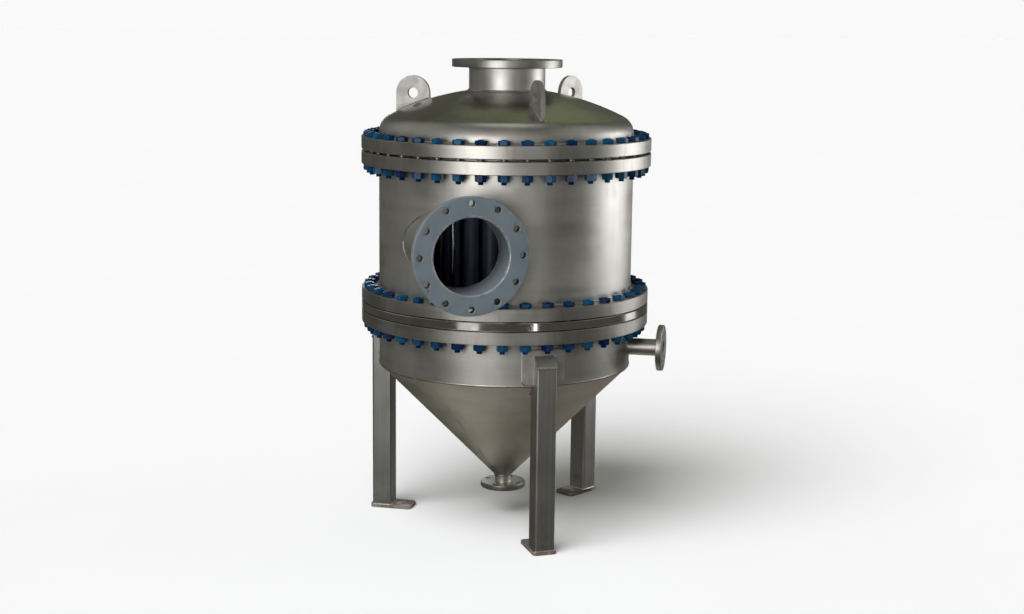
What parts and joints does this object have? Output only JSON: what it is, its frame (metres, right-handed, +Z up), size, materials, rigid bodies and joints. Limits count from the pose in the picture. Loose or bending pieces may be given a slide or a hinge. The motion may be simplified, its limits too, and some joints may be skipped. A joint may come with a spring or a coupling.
{
  "type": "multi-tube cyclone separator",
  "caption": "Upright stainless multi-tube cyclone separator: flanged dished head, tangential inlet, bolted tube plate, conical hopper with drain, on square-tube legs.",
  "frame": {"origin": "on the vessel's axis, level with the underside of the base plates, at the centre of the anchor-hole circle", "axes": "+Z up the vessel's axis; -Y is the way the inlet points out; +X to the right of someone who faces the inlet"},
  "size_m": [1.0685, 1.08, 1.682],
  "materials": {
    "blasted_steel": "satin bead-blasted stainless steel",
    "turned_steel": "fine turned stainless steel",
    "polished_steel": "mirror-polished stainless steel",
    "cut_plate": "pickled stainless plate",
    "leg_steel": "mill-finish stainless tube",
    "gasket": "matt black",
    "coated_flange": "satin grey-blue coating",
    "blue_coating": "satin dark blue coating"
  },
  "bodies": {
    "root": {"base_plate_1": "cut_plate", "base_plate_2": "cut_plate", "base_plate_3": "cut_plate", "cone": "blasted_steel", "cyclone_tubes": "blue_coating", "drain_flange": "turned_steel", "drain_neck": "blasted_steel", "head": "blasted_steel", "head_flange": "turned_steel", "hopper_flange": "turned_steel", "hopper_shell": "blasted_steel", "inlet_flange": "coated_flange", "inlet_neck": "blasted_steel", "leg_1": "leg_steel", "leg_2": "leg_steel", "leg_3": "leg_steel", "leg_cap_1": "leg_steel", "leg_cap_2": "leg_steel", "leg_cap_3": "leg_steel", "leg_pad_1": "cut_plate", "leg_pad_2": "cut_plate", "leg_pad_3": "cut_plate", "lifting_lug_1": "cut_plate", "lifting_lug_2": "cut_plate", "lifting_lug_3": "cut_plate", "lower_plate_gasket": "gasket", "outlet_flange": "turned_steel", "outlet_neck": "blasted_steel", "shell": "blasted_steel", "shell_bottom_flange": "turned_steel", "shell_top_flange": "turned_steel", "side_flange": "turned_steel", "side_neck": "blasted_steel", "support_plate": "turned_steel", "tie_rods": "polished_steel", "top_gasket": "gasket", "tube_plate": "polished_steel", "upper_plate_gasket": "gasket"}
  },
  "joints": []
}
